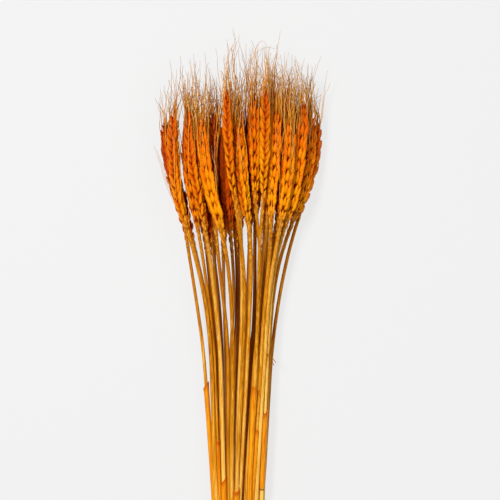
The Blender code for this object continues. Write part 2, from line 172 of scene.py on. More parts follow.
def packPlaces():
    tieEdge = bunch["tieHalfWidth"] + bunch["tieMargin"]
    low = [*bunch["placesBelow"], -tieEdge, tieEdge, bunch["placeAbove"]]
    straws = np.arange(*bunch["placesAlongStraws"])
    heads = np.arange(*bunch["placesAlongHeads"], bunch["headStep"])
    return np.array([*low, *straws, *heads])


def laneRadius(ear, y):
    foot, tip, step = ear["foot"][1], ear["tip"][1], bunch["headStep"]
    if y < foot - step:
        t = (y - bunch["cutEnd"]) / (foot - bunch["cutEnd"])
        return mix(bunch["strawRadiusLow"], bunch["strawRadiusTop"], max(t, 0.0))
    if y < tip + step:
        near = [(y + reach - foot) / (tip - foot) for reach in (-step / 2.0, 0.0, step / 2.0)]
        return bunch["fanRadius"] * max(readTable(earSwellShape, t) for t in near) + bunch["fanMargin"]
    return bunch["awnFanRadius"] if y < tip + bunch["awnFanLength"] else bunch["looseAwnRadius"]


def wantedLine(ear):
    (footX, footY), (tipX, tipY) = ear["foot"], ear["tip"]
    line = np.zeros((len(ys), 2))
    for k, y in enumerate(ys):
        if y >= footY:
            t = (y - footY) / (tipY - footY)
            bow = 4.0 * t * (1.0 - t) if t < 1.0 else 2.0 * (1.0 - t)
            line[k] = (mix(footX, tipX, t) + ear["bow"] * bow, ear["height"])
            continue
        places = (footY,) + strawPlaces
        x = np.interp(y, places[::-1], [*ear["straw"][::-1], footX])
        if y < places[-1]:
            stray = ear["wander"] * math.sin(math.pi * max(y / places[-1], 0.0))
            x = ear["straw"][-1] * readTable(strawGather, y) + stray
        lowHeight = (bunch["tieCentreHeight"]
                     + (ear["height"] - bunch["headCentreHeight"]) * bunch["tieHeightShare"])
        line[k] = (x, mix(lowHeight, ear["height"], readTable(strawRise, y)))
    return line


def middles(lines):
    before = (ys[1:-1] - ys[:-2]) / (ys[2:] - ys[:-2])
    return lines[:, :-2] + (lines[:, 2:] - lines[:, :-2]) * before[None, :, None]


def settleStalks():
    # every stalk is drawn to its wanted line and pushed off its neighbours and the floor
    b = bunch
    lines = np.array([wantedLine(ear) for ear in ears])
    for step in range(b["roundingSteps"]):
        lines[:, 1:-1] += b["rounding"] * (middles(lines) - lines[:, 1:-1])
    radii = np.array([[laneRadius(ear, y) for y in ys] for ear in ears])
    wanted = lines.copy()
    pull = np.zeros_like(lines)
    for n, ear in enumerate(ears):
        inHead = ys > ear["foot"][1] - b["headOverlap"]
        across = b["pullAcross"]["shown" if ear["shown"] else "hidden"]
        pull[n, :, 0] = np.where(inHead, across, b["pullAcross"]["straw"])
        pull[n, :, 1] = np.where(inHead, b["pullHeight"]["head"], b["pullHeight"]["straw"])
    inTie = np.abs(ys) < b["tieHalfWidth"] + 2.0 * b["tieMargin"]
    lowest = radii + np.where(inTie, b["tieFloorGap"], b["floorGap"])[None, :]
    others = ~np.eye(len(ears), dtype=bool)
    room = radii[:, None, :] + radii[None, :, :] + b["packGap"]
    for step in range(b["settleSteps"]):
        ease = 1.0 - step / b["settleSteps"]
        if step < b["settleSteps"] - b["looseSteps"]:
            lines += pull * ease * (wanted - lines)
            moved = lines - wanted
            lines[:, 1:-1] += mix(*b["stiffness"], ease) * (middles(moved) - moved[:, 1:-1])
        apart = lines[:, None] - lines[None, :]
        gap = np.sqrt((apart ** 2).sum(axis=3)) + 1e-9
        short = np.where(others[:, :, None], np.maximum(room - gap, 0.0), 0.0)
        push = (apart / gap[..., None]) * short[..., None]
        lines += b["push"] * push.sum(axis=1)
        lines[:, :, 1] = np.maximum(lines[:, :, 1], lowest)
    for ear, line in zip(ears, lines):
        ear["line"] = line


def smoothLine(line, y):
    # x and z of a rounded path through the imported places: Hermite curves with the neighbours' slopes
    k = int(np.clip(np.searchsorted(ys, y) - 1, 1, len(ys) - 3))
    t = (y - ys[k]) / (ys[k + 1] - ys[k])
    p0, p1, p2, p3 = line[k - 1], line[k], line[k + 1], line[k + 2]
    s1 = (p2 - p0) / (ys[k + 1] - ys[k - 1]) * (ys[k + 1] - ys[k])
    s2 = (p3 - p1) / (ys[k + 2] - ys[k]) * (ys[k + 1] - ys[k])
    h1, h2 = 2 * t ** 3 - 3 * t ** 2 + 1, t ** 3 - 2 * t ** 2 + t
    h3, h4 = -2 * t ** 3 + 3 * t ** 2, t ** 3 - t ** 2
    return p1 * h1 + s1 * h2 + p2 * h3 + s2 * h4


def findShift():
    # the solids were moved so that their origin is under the middle of their box
    low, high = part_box("tie")
    endDepth = 0.05 * mm
    offsets = []
    for n, ear in enumerate(ears):
        verts = bpy.data.objects[f"stalk_{n + 1:02d}"].data.vertices
        endY = min(v.co.y for v in verts)
        ring = [v.co.x for v in verts if v.co.y < endY + endDepth]
        middle = (min(ring) + max(ring)) / 2.0
        offsets.append(middle - np.interp(ear["end"], ys, ear["line"][:, 0]) * mm)
    return Vector((float(np.mean(offsets)), (low[1] + high[1]) / 2.0, 0.0))


ears = listEars()
ys = packPlaces()
settleStalks()
shift = findShift()
print("stalks laid out:", len(ears), "shift", tuple(round(c / mm, 2) for c in shift))


def place(x, y, z):
    # a point of the bunch in metres, in the frame of the solids
    return Vector((x, y, z)) * mm + shift


def stalkPoint(ear, y):
    x, z = smoothLine(ear["line"], y)
    return place(x, y, z)


# small helpers for node trees; the values of a noise are its scale or stretch, detail and roughness
def setInputs(tree, node, values):
    for key, value in values.items():
        socket = node.inputs[key]
        if isinstance(value, bpy.types.NodeSocket):
            tree.links.new(value, socket)
        else:
            socket.default_value = value


def addNode(tree, kind, values=None, output=0, **settings):
    node = tree.nodes.new(kind)
    for key, value in settings.items():
        setattr(node, key, value)
    setInputs(tree, node, values or {})
    return node.outputs[output]


def mathNode(tree, operation, a, b=0.0, c=0.0, clamp=False):
    values = {0: a, 1: b, 2: c}
    return addNode(tree, "ShaderNodeMath", values, operation=operation, use_clamp=clamp)


def times(tree, a, b):
    return mathNode(tree, "MULTIPLY", a, b)


def plus(tree, a, b):
    return mathNode(tree, "ADD", a, b)


def weighted(tree, values, weights):
    # the sum of the values, each times its weight
    parts = [times(tree, value, weight) for value, weight in zip(values, weights)]
    total = parts[0]
    for part in parts[1:]:
        total = plus(tree, total, part)
    return total


def vectorNode(tree, operation, a, b):
    key = 3 if operation == "SCALE" else 1
    return addNode(tree, "ShaderNodeVectorMath", {0: a, key: b}, operation=operation)


def combine(tree, x=0.0, y=0.0, z=0.0):
    return addNode(tree, "ShaderNodeCombineXYZ", {0: x, 1: y, 2: z})


def colourRamp(tree, factor, stops):
    socket = addNode(tree, "ShaderNodeValToRGB", {0: factor})
    elements = socket.node.color_ramp.elements
    while len(elements) < len(stops):
        elements.new(0.5)
    for element, (at, colour) in zip(elements, stops):
        element.position = at
        element.color = (*colour, 1.0)
    return socket


def fade(tree, factor, nothing, full):
    # 0 where the factor is at nothing and 1 where it is at full
    return colourRamp(tree, factor, sorted([(nothing, (0.0, 0.0, 0.0)), (full, (1.0, 1.0, 1.0))]))


def mixColour(tree, factor, a, b, blend="MIX"):
    values = {0: factor, 6: a, 7: b}
    values.update({key: (*value, 1.0) for key, value in values.items() if isinstance(value, tuple)})
    return addNode(tree, "ShaderNodeMix", values, 2, data_type="RGBA", blend_type=blend)


def noise(tree, spot, scale, detail, roughness=0.5, **settings):
    values = {"Vector": spot, "Scale": scale, "Detail": detail, "Roughness": roughness}
    return addNode(tree, "ShaderNodeTexNoise", values, **settings)


def objectSpot(tree):
    return addNode(tree, "ShaderNodeTexCoord", output="Object")


def stretchedNoise(tree, stretch, detail, roughness=0.5):
    mapped = addNode(tree, "ShaderNodeMapping", {"Vector": objectSpot(tree), "Scale": stretch})
    return noise(tree, mapped, 1.0, detail, roughness)


def readAttributes(tree, *names):
    return [addNode(tree, "ShaderNodeAttribute", output="Fac", attribute_name=name) for name in names]


def newMaterial(name, finish):
    material = bpy.data.materials.new(name)
    material.use_nodes = True
    tree = material.node_tree
    shader = tree.nodes["Principled BSDF"]
    setInputs(tree, shader, {"Roughness": finish["roughness"], "Specular IOR Level": finish["specular"]})
    return material, tree, shader


def setSurface(tree, shader, colour, height=None, depth=(0.0, 0.0)):
    # depth is the strength and the distance of the bump
    setInputs(tree, shader, {"Base Color": colour})
    if height is not None:
        values = {"Strength": depth[0], "Distance": depth[1], "Height": height}
        setInputs(tree, shader, {"Normal": addNode(tree, "ShaderNodeBump", values)})


def newTree(name, inputs):
    tree = bpy.data.node_groups.new(name, "GeometryNodeTree")
    for label, kind in {"Geometry": "Geometry", **inputs}.items():
        tree.interface.new_socket(name=label, in_out="INPUT", socket_type="NodeSocket" + kind)
    tree.interface.new_socket(name="Geometry", in_out="OUTPUT", socket_type="NodeSocketGeometry")
    return tree, tree.nodes.new("NodeGroupInput").outputs


def endTree(tree, geometry, material, only=True):
    values = {"Geometry": geometry, "Selection": only, "Material": material}
    last = addNode(tree, "GeometryNodeSetMaterial", values)
    setInputs(tree, tree.nodes.new("NodeGroupOutput"), {0: last})


def growPiece(name, baseMesh, tree, values):
    # runs the tree on a base mesh and keeps the plain mesh that comes out
    base = bpy.data.objects.new(name + "_base", baseMesh)
    bpy.context.scene.collection.objects.link(base)
    modifier = base.modifiers.new("grow", "NODES")
    modifier.node_group = tree
    for item in tree.interface.items_tree:
        if item.in_out == "INPUT" and item.name in values:
            modifier[item.identifier] = values[item.name]
    deps = bpy.context.evaluated_depsgraph_get()
    mesh = bpy.data.meshes.new_from_object(base.evaluated_get(deps))
    mesh.name = name
    base.modifiers.remove(modifier)
    bpy.data.objects.remove(base, do_unlink=True)
    bpy.data.meshes.remove(baseMesh)
    for value in values.values():
        if isinstance(value, bpy.types.Material) and value.name not in mesh.materials:
            mesh.materials.append(value)
    piece = bpy.data.objects.new(name, mesh)
    bpy.context.scene.collection.objects.link(piece)
    return piece


def placePiece(piece, solid):
    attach(piece, body)
    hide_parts(solid)


def lineMesh(points, rows=(), **same):
    # a line of edges: rows hold what changes from point to point, and the rest is the same all along
    mesh = bpy.data.meshes.new("line")
    mesh.from_pydata([tuple(p) for p in points], [(i, i + 1) for i in range(len(points) - 1)], [])
    columns = {key: [row[key] for row in rows] for key in (rows[0] if rows else {})}
    columns.update({key: [value] * len(points) for key, value in same.items()})
    for key, values in columns.items():
        mesh.attributes.new(key, "FLOAT", "POINT").data.foreach_set("value", values)
    return mesh


scaleFinish = {
    # the last and darkest stop is painted shade on the ears beneath; the tips of the reddest ears reach it
    # too
    "dyeAndShade": [(0.0, (1.0, 0.41, 0.003)), (0.38, (0.87, 0.20, 0.001)),
            (0.74, (0.68, 0.085, 0.0005)), (1.0, (0.34, 0.046, 0.0004))],
    # what reddens a scale: its place on the ear, the ear's tint, which on the ears beneath is painted shade,
    # its own tint, patches and, less, its keel: a painted highlight makes the keel yellower and the inner
    # side redder
    "warmth": (0.62, 0.45, 0.22, 0.5, -0.22),
    "warmLevel": 0.40,
    "patches": (150.0, 3.0),
    # base is a painted shade colour: the foot of each scale is darkened to it, as shade in the gaps between
    # scales
    "base": (0.28, 0.026, 0.0003),
    "foot": (0.04, 0.32),
    # the flanks and inner side of each scale are darkened towards base, as painted shade
    "edge": (0.42, 0.75),
    "edgeShare": 0.65,
    "collar": (0.24, 0.11),
    "beads": [(0.2, (0.40, 0.095, 0.002)), (0.7, (0.90, 0.42, 0.035))],
    "ribs": [(0.35, (0.70, 0.52, 0.4)), (0.6, (1.0, 1.0, 1.0))],
    "ribNoise": (26.0, 1.0),
    "ribStretch": 0.12,
    "ribShare": 0.5,
    "ribDepth": (0.3, 0.0004),
    "roughness": 0.45,
    "specular": 0.035,
}


def makeScaleMaterial():
    f = scaleFinish
    material, tree, shader = newMaterial("dyedScalesAndPaintedLight", f)
    along, across, share, earTint, tint = readAttributes(
        tree, "along", "across", "earShare", "earTint", "tint")
    patch = noise(tree, objectSpot(tree), *f["patches"])
    # painted highlight along the keel of each scale, painted shade on its inner side
    keelHighlight = mathNode(tree, "COSINE", times(tree, across, math.pi))
    warm = weighted(tree, (share, earTint, tint, patch, keelHighlight), f["warmth"])
    warm = mathNode(tree, "SUBTRACT", warm, f["warmLevel"], clamp=True)
    # painted shade: the foot of each scale takes the dark base colour, as shade in the gaps between scales
    colour = mixColour(tree, fade(tree, along, *f["foot"]), f["base"], colourRamp(tree, warm, f["dyeAndShade"]))
    # painted shade on the flanks and inner side of each scale
    edge = times(tree, fade(tree, across, *f["edge"]), f["edgeShare"])
    colour = mixColour(tree, edge, colour, f["base"])
    inCollar = fade(tree, share, *f["collar"])
    colour = mixColour(tree, inCollar, colour, colourRamp(tree, tint, f["beads"]))
    ribSpot = combine(tree, across, times(tree, along, f["ribStretch"]))
    ribs = noise(tree, ribSpot, *f["ribNoise"], noise_dimensions="2D")
    colour = mixColour(tree, f["ribShare"], colour, colourRamp(tree, ribs, f["ribs"]), "MULTIPLY")
    setSurface(tree, shader, colour, ribs, f["ribDepth"])
    return material


awnFinish = {
    "length": [(0.0, (0.95, 0.31, 0.002)), (0.4, (1.0, 0.46, 0.03)), (0.85, (0.84, 0.49, 0.19))],
    "dark": (0.28, 0.085, 0.012),
    "darkShare": 0.62,
    "roughness": 0.6,
    "specular": 0.15,
}


def makeAwnMaterial():
    f = awnFinish
    material, tree, shader = newMaterial("driedAwns", f)
    along, tint = readAttributes(tree, "along", "tint")
    length = colourRamp(tree, along, f["length"])
    setSurface(tree, shader, mixColour(tree, times(tree, tint, f["darkShare"]), length, f["dark"]))
    return material


strawFinish = {
    "gold": [(0.50, (0.38, 0.110, 0.001)), (0.74, (0.76, 0.30, 0.005)), (1.0, (1.0, 0.61, 0.12))],
    "streaks": ((1500.0, 12.0, 1500.0), 3.0, 0.6),
    "patches": ((90.0, 14.0, 90.0), 2.0),
    # what makes a straw lighter: streaks, patches, its lower part, the painted highlight on the bead crests,
    # and its own tint
    "lightness": (1.15, 0.5, 0.20, 0.32),
    "streakLevel": 0.24,
    "sheath": [(0.36, (0.66, 0.15, 0.001)), (0.64, (1.0, 0.42, 0.010))],
    "sheathEnd": (0.60, 0.12, 0.001),
    "russet": (0.52, 0.165, 0.002),
    "russetLeast": 0.25,
    "shadeUmber": (0.24, 0.052, 0.0006),
    # node colour: dark nodes and fibres, and painted shade in the grooves between the beads
    "node": (0.10, 0.025, 0.004),
    "streakDepth": (0.35, 0.0003),
    "roughness": 0.36,
    "specular": 0.05,
}


def makeStrawMaterial():
    f = strawFinish
    material, tree, shader = newMaterial("dyedStrawAndPaintedLight", f)
    pale, tint, torn, upper, paintedShade, sheath, knot = readAttributes(
        tree, "pale", "tint", "torn", "upper", "paintedShade", "sheath", "knot")
    streak = stretchedNoise(tree, *f["streaks"])
    patch = stretchedNoise(tree, *f["patches"])
    sharp = mathNode(tree, "SUBTRACT", streak, f["streakLevel"])
    gold = colourRamp(tree, weighted(tree, (sharp, patch, pale, tint), f["lightness"]), f["gold"])
    upper = mathNode(tree, "MULTIPLY", upper, plus(tree, patch, f["russetLeast"]), clamp=True)
    gold = mixColour(tree, upper, gold, f["russet"])
    # painted shade: each straw is darkened towards a dark umber, much more for the straws beneath the others,
    # most near the ears and less on the pale lower part
    gold = mixColour(tree, paintedShade, gold, f["shadeUmber"])
    red = mixColour(tree, torn, colourRamp(tree, streak, f["sheath"]), f["sheathEnd"])
    colour = mixColour(tree, knot, mixColour(tree, sheath, gold, red), f["node"])
    setSurface(tree, shader, colour, streak, f["streakDepth"])
    return material


# One glume or lemma, one unit long along Y: a pointed boat, full on its outer side (+X), keeled.
scaleShape = {
    "halfWidth": [(0.0, 0.12), (0.12, 0.32), (0.38, 0.5), (0.6, 0.46), (0.8, 0.27), (0.93, 0.09),
                  (1.0, 0.03)],
    "outer": [(0.0, 0.10), (0.12, 0.32), (0.38, 0.5), (0.6, 0.47), (0.8, 0.28), (0.93, 0.09),
              (1.0, 0.03)],
    "inner": 0.70,
    "curl": 0.10,
    "curlFrom": 0.35,
    "keel": 0.10,
    "places": [0.0, 0.12, 0.28, 0.46, 0.64, 0.82, 1.0],
    "sides": 8,
}


def makeScaleShape():
    s = scaleShape
    bm = bmesh.new()
    alongLayer = bm.verts.layers.float.new("along")
    acrossLayer = bm.verts.layers.float.new("across")
    rings = []
    for at in s["places"]:
        half, outer = readTable(s["halfWidth"], at), readTable(s["outer"], at)
        middle = s["curl"] * max(at - s["curlFrom"], 0.0) ** 2
        ring = []
        for i in range(s["sides"]):
            angle = 2.0 * math.pi * i / s["sides"]
            out, wide = math.cos(angle), math.sin(angle)
            depth = outer * (1.0 + s["keel"] if i == 0 else 1.0 if out > 0 else s["inner"])
            vert = bm.verts.new((middle + depth * out, at, half * wide))
            vert[alongLayer] = at
            vert[acrossLayer] = 1.0 - abs(1.0 - 2.0 * i / s["sides"])
            ring.append(vert)
        rings.append(ring)
    for low, high in zip(rings, rings[1:]):
        for i in range(s["sides"]):
            j = (i + 1) % s["sides"]
            bm.faces.new((low[i], high[i], high[j], low[j]))
    bm.faces.new(rings[0])
    bm.faces.new(list(reversed(rings[-1])))
    bmesh.ops.recalc_face_normals(bm, faces=bm.faces[:])
    for face in bm.faces:
        face.smooth = True
    mesh = bpy.data.meshes.new("scaleShape")
    bm.to_mesh(mesh)
    bm.free()
    shape = bpy.data.objects.new("scaleShape", mesh)
    bpy.context.scene.collection.objects.link(shape)
    return shape


# The scales of one spikelet: place (out, along, across) and size in millimetres, lean outwards and
# across in degrees, and how often its awn is there.
florets = {
    "glumeLeft": ((-0.3, -0.4, -2.1), (4.6, 10.6, 3.9), 19.0, -10.0, 0.0),
    "glumeRight": ((-0.3, -0.4, 2.1), (4.6, 10.6, 3.9), 19.0, 10.0, 0.0),
    "lemmaLeft": ((-0.2, 2.4, -1.65), (5.0, 13.0, 4.3), 16.5, -10.0, 0.9),
    "lemmaRight": ((-0.2, 2.8, 1.65), (5.0, 13.0, 4.3), 16.5, 10.0, 0.9),
    "lemmaMiddle": ((1.2, 4.0, 0.0), (4.2, 11.5, 4.2), 11.0, 0.0, 0.5),
}
earSizes = {
    "tipRoom": 3.0,
    "leanJitter": 3.5,
    "sizeJitter": 0.09,
    "coreRadius": 1.0,
    "coreSides": 8,
    "awnAt": (0.03, 0.96, 0.0),
    "awnRadius": 0.52,
    "awnTaper": 0.72,
    "awnReach": (0.22, 1.0),
    "awnMost": 78.0,
    "awnPoints": 14,
    "awnSides": 3,
    "awnSpread": 0.16,
    "awnOut": 0.10,
    "awnUp": 1.1,
    "awnInward": -3.4,
    "awnBend": 9.0,
    "awnWave": 0.015,
    "awnWaveScale": 45.0,
    "awnWaveSpread": 40.0,
    "awnLowest": 0.5,
    "awnHighest": 62.0,
    "awnHighestEase": 8.0,
    "lowerCrowd": 0.7,
    "earSeedStep": 101,
    "scaleSeedStep": 11.0,
}
# along the ear: how far apart the spikelets sit in millimetres, how full an ear is that ends bluntly
# at its foot and one that narrows slowly into its stalk, how many awns there are and how much scales lean
earPitch = [(0.0, 3.3), (0.18, 3.8), (0.32, 5.0), (0.8, 5.2), (1.0, 3.8)]
earBlunt = [(0.0, 0.30), (0.12, 0.42), (0.19, 0.66), (0.27, 0.95), (0.5, 1.0), (0.80, 0.90),
            (0.91, 0.60), (1.0, 0.20)]
earSlow = [(0.0, 0.26), (0.16, 0.36), (0.29, 0.60), (0.44, 0.85), (0.62, 1.0), (0.80, 0.90),
           (0.91, 0.58), (1.0, 0.20)]
awnShare = [(0.0, 0.0), (0.16, 0.12), (0.5, 0.55), (0.8, 0.95), (1.0, 1.0)]
earLean = [(0.0, 0.8), (0.2, 1.0), (0.78, 0.95), (0.92, 0.6), (1.0, 0.1)]


def floatCurve(tree, factor, table):
    socket = addNode(tree, "ShaderNodeFloatCurve", {"Value": factor})
    mapping = socket.node.mapping
    points = mapping.curves[0].points
    while len(points) < len(table):
        points.new(0.5, 0.5)
    for point, at in zip(points, table):
        point.location = at
        point.handle_type = "AUTO"
    mapping.update()
    return socket


def randomNode(tree, kind, seed, values, output):
    values = {"Seed": plus(tree, *seed), **values}
    return addNode(tree, "FunctionNodeRandomValue", values, output, data_type=kind)


def randomFloat(tree, low, high, *seed):
    return randomNode(tree, "FLOAT", seed, {2: low, 3: high}, 1)


def randomVector(tree, reach, *seed):
    return randomNode(tree, "FLOAT_VECTOR", seed, {0: (-reach,) * 3, 1: (reach,) * 3}, 0)


def turnBy(tree, rotation, axis, angle):
    by = addNode(tree, "FunctionNodeAxisAngleToRotation", {"Axis": axis, "Angle": angle})
    values = {"Rotation": rotation, "Rotate By": by}
    return addNode(tree, "FunctionNodeRotateRotation", values, rotation_space="LOCAL")


def turned(tree, vector, rotation):
    values = {"Vector": vector, "Rotation": rotation}
    return addNode(tree, "FunctionNodeRotateVector", values)


def alignY(tree, vector):
    return addNode(tree, "FunctionNodeAlignRotationToVector", {"Vector": vector}, axis="Y")


def store(tree, geometry, name, value, domain="POINT", kind="FLOAT"):
    values = {"Geometry": geometry, "Name": name, "Value": value}
    return addNode(tree, "GeometryNodeStoreNamedAttribute", values, data_type=kind, domain=domain)


def named(tree, name, kind="FLOAT"):
    return addNode(tree, "GeometryNodeInputNamedAttribute", {"Name": name}, data_type=kind)


def moveBy(tree, geometry, offset):
    return addNode(tree, "GeometryNodeSetPosition", {"Geometry": geometry, "Offset": offset})


def join(tree, parts):
    joined = addNode(tree, "GeometryNodeJoinGeometry")
    for part in parts:
        tree.links.new(part, joined.node.inputs[0])
    return addNode(tree, "GeometryNodeRealizeInstances", {"Geometry": joined})


def toCurve(tree, mesh):
    return addNode(tree, "GeometryNodeMeshToCurve", {"Mesh": mesh})


def sweep(tree, curve, sides, radius, scale=1.0):
    values = {"Resolution": sides, "Radius": radius}
    ring = addNode(tree, "GeometryNodeCurvePrimitiveCircle", values)
    values = {"Curve": curve, "Profile Curve": ring, "Scale": scale, "Fill Caps": True}
    return addNode(tree, "GeometryNodeCurveToMesh", values)


def smoothShade(tree, geometry):
    return addNode(tree, "GeometryNodeSetShadeSmooth", {"Geometry": geometry})


def buildEarTree():
    e = earSizes
    tree, inputs = newTree("earTree", {
        "Awn Crowd": "Float", "Turn": "Float", "Size": "Float", "Taper": "Float", "Tint": "Float",
        "Seed": "Int", "Scale Shape": "Object", "Awn Reach": "Float", "Awn Most": "Float",
        "Awn Radius": "Float", "Awn Bend": "Float", "Scale Material": "Material",
        "Awn Material": "Material"})
    factor = addNode(tree, "GeometryNodeSplineParameter")
    position = addNode(tree, "GeometryNodeInputPosition")
    x, y, z = addNode(tree, "ShaderNodeSeparateXYZ", {"Vector": position}).node.outputs
    axis = store(tree, toCurve(tree, inputs["Geometry"]), "earShare", factor)
    points = addNode(tree, "GeometryNodeCurveToPoints", {"Curve": axis}, mode="EVALUATED")
    tangent = points.node.outputs["Tangent"]
    # spikelets sit left and right in turn, with two glumes and three lemmas each
    odd = mathNode(tree, "MODULO", addNode(tree, "GeometryNodeInputIndex"), 2.0)
    angle = plus(tree, times(tree, odd, math.pi), inputs["Turn"])
    facing = turnBy(tree, alignY(tree, tangent), (0.0, 1.0, 0.0), angle)
    share = named(tree, "earShare")
    slow, blunt = floatCurve(tree, share, earSlow), floatCurve(tree, share, earBlunt)
    full = times(tree, mathNode(tree, "SUBTRACT", slow, blunt), inputs["Taper"])
    full = times(tree, plus(tree, full, blunt), inputs["Size"])
    earLength = addNode(tree, "GeometryNodeCurveLength", {"Curve": axis})
    toTip = times(tree, mathNode(tree, "SUBTRACT", 1.0, share), earLength)
    leanShare = floatCurve(tree, share, earLean)
    shape = addNode(tree, "GeometryNodeObjectInfo", {"Object": inputs["Scale Shape"]}, "Geometry")
    straight = addNode(tree, "GeometryNodeCurvePrimitiveLine", {"End": (0.0, 1.0, 0.0)})
    values = {"Curve": straight, "Count": e["awnPoints"]}
    awnLine = addNode(tree, "GeometryNodeResampleCurve", values, mode="COUNT")
    # awns at the sides of the bunch lean back towards its middle
    inward = combine(tree, times(tree, x, e["awnInward"]))
    scales, awns = [], []
    for k, (at, size, lean, fan, awnChance) in enumerate(florets.values()):
        seed = plus(tree, inputs["Seed"], e["scaleSeedStep"] * k)
        jitter = randomFloat(tree, -e["leanJitter"], e["leanJitter"], seed, 1.0)
        leaning = times(tree, times(tree, plus(tree, jitter, lean), leanShare), math.radians(-1.0))
        sway = randomFloat(tree, fan - e["leanJitter"], fan + e["leanJitter"], seed, 2.0)
        rotation = turnBy(tree, facing, (0.0, 0.0, 1.0), leaning)
        rotation = turnBy(tree, rotation, (1.0, 0.0, 0.0), times(tree, sway, math.radians(1.0)))
        grow = randomFloat(tree, 1.0 - e["sizeJitter"], 1.0 + e["sizeJitter"], seed, 3.0)
        offset = vectorNode(tree, "SCALE", tuple(Vector(at) * mm), full)
        moved = moveBy(tree, points, turned(tree, offset, facing))
        big = vectorNode(tree, "SCALE", tuple(Vector(size) * mm), times(tree, full, grow))
        values = {"Points": moved, "Instance": shape, "Rotation": rotation, "Scale": big}
        scale = addNode(tree, "GeometryNodeInstanceOnPoints", values)
        tint = randomFloat(tree, 0.0, 1.0, seed, 4.0)
        scales.append(store(tree, scale, "tint", tint, "INSTANCE"))
        if not awnChance:
            continue
        awnAt = turned(tree, vectorNode(tree, "MULTIPLY", big, e["awnAt"]), rotation)
        outward = vectorNode(tree, "SCALE", turned(tree, (0.0, 1.0, 0.0), rotation), e["awnOut"])
        towards = vectorNode(tree, "ADD", outward, tangent)
        stray = randomVector(tree, e["awnSpread"], seed, 5.0)
        for part in ((0.0, e["awnUp"], 0.0), stray, inward):
            towards = vectorNode(tree, "ADD", towards, part)
        reach = randomFloat(tree, *e["awnReach"], seed, 6.0)
        reach = times(tree, inputs["Awn Reach"], reach)
        long = mathNode(tree, "MINIMUM", plus(tree, toTip, reach), inputs["Awn Most"])
        chance = times(tree, floatCurve(tree, share, awnShare), awnChance)
        chance = {"Probability": times(tree, chance, inputs["Awn Crowd"])}
        there = randomNode(tree, "BOOLEAN", (seed, 7.0), chance, 3)
        values = {"Points": moveBy(tree, moved, awnAt), "Selection": there, "Instance": awnLine,
                  "Rotation": alignY(tree, towards), "Scale": combine(tree, 1.0, long, 1.0)}
        awn = addNode(tree, "GeometryNodeInstanceOnPoints", values)
        tint = randomFloat(tree, 0.0, 1.0, seed, 8.0)
        awn = store(tree, awn, "tint", tint, "INSTANCE")
        bend = randomVector(tree, 1.0, seed, 9.0)
        awns.append(store(tree, awn, "bend", bend, "INSTANCE", "FLOAT_VECTOR"))
    late = mathNode(tree, "POWER", factor, 2.0)
    bend = named(tree, "bend", "FLOAT_VECTOR")
    bend = vectorNode(tree, "SCALE", bend, times(tree, late, inputs["Awn Bend"]))
    wave = addNode(tree, "ShaderNodeTexNoise", {
        "Vector": position, "W": times(tree, named(tree, "tint"), e["awnWaveSpread"]),
        "Scale": e["awnWaveScale"], "Detail": 2.0}, "Color", noise_dimensions="4D")
    wave = vectorNode(tree, "SUBTRACT", wave, (0.5, 0.5, 0.5))
    wave = vectorNode(tree, "SCALE", wave, times(tree, factor, e["awnWave"]))
    bent = moveBy(tree, join(tree, awns), vectorNode(tree, "ADD", bend, wave))
    # awns lie on the surface and reach no higher than the bunch
    height = mathNode(tree, "SMOOTH_MIN", z, e["awnHighest"] * mm, e["awnHighestEase"] * mm)
    height = mathNode(tree, "MAXIMUM", height, e["awnLowest"] * mm)
    values = {"Geometry": bent, "Position": combine(tree, x, y, height)}
    bent = addNode(tree, "GeometryNodeSetPosition", values)
    bent = store(tree, store(tree, bent, "along", factor), "isAwn", 1.0)
    thin = mathNode(tree, "SUBTRACT", 1.0, times(tree, factor, e["awnTaper"]))
    awnMesh = sweep(tree, bent, e["awnSides"], inputs["Awn Radius"], thin)
    core = sweep(tree, axis, e["coreSides"], e["coreRadius"] * mm)
    real = store(tree, join(tree, [core, awnMesh] + scales), "earTint", inputs["Tint"])
    values = {"Geometry": smoothShade(tree, real), "Material": inputs["Scale Material"]}
    dyed = addNode(tree, "GeometryNodeSetMaterial", values)
    isAwn = mathNode(tree, "GREATER_THAN", named(tree, "isAwn"), 0.5)
    endTree(tree, dyed, inputs["Awn Material"], isAwn)
    return tree


strawSizes = {
    "radiusLow": 1.98,
    "radiusTop": 1.52,
    "sides": 10,
    "step": 4.0,
    "intoEar": 4.0,
    "nodeSwell": 0.28,
    "nodeLength": 1.6,
    "nodeReach": 2.0,
    "nodeRings": 9,
    "wall": 0.5,
    "hollow": 6.0,
    "paleFrom": 230.0,
    "paleTo": 95.0,
    "upperLength": 75.0,
    "beadStep": 0.6,
    "beadFade": 14.0,
    "beadUneven": 0.45,
    "beadRipple": 0.83,
    "beadTurn": 9.0,
    "beadDrift": 0.5,
    "beadDriftRipple": 0.47,
    "beadSwell": 0.42,
    "beadLevel": 0.3,
    # the bead grooves are painted dark as shade and the bead crests pale as a painted highlight
    "beadGrooveShade": 0.40,
    "beadCrestHighlight": 1.2,
    # painted shade on a straw: the share left far from the ear, and how much less there is on its pale lower
    # part
    "paintedShadeLow": 0.75,
    "paintedShadePale": 0.15,
}
sheaths = {
    "sides": 12,
    "extraRadius": 0.42,
    "mouth": 0.35,
    "mouthLength": 14.0,
    "footLength": 5.0,
    "tornLength": 4.0,
    "slant": 4.0,
    "step": 4.0,
    "tipStep": 1.0,
    "tipLength": 6.0,
    "endRoom": 6.0,
}
# leaf sheaths that show: number of the stalk, y of the torn end and length down to the node;
# the rest start lower, where the photo ends
shownSheaths = {1: (191.0, 130.0), 3: (144.5, 110.0), 4: (110.0, 105.0), 7: (102.0, 120.0),
                11: (187.0, 140.0), 13: (150.0, 120.0), 16: (168.0, 66.0)}
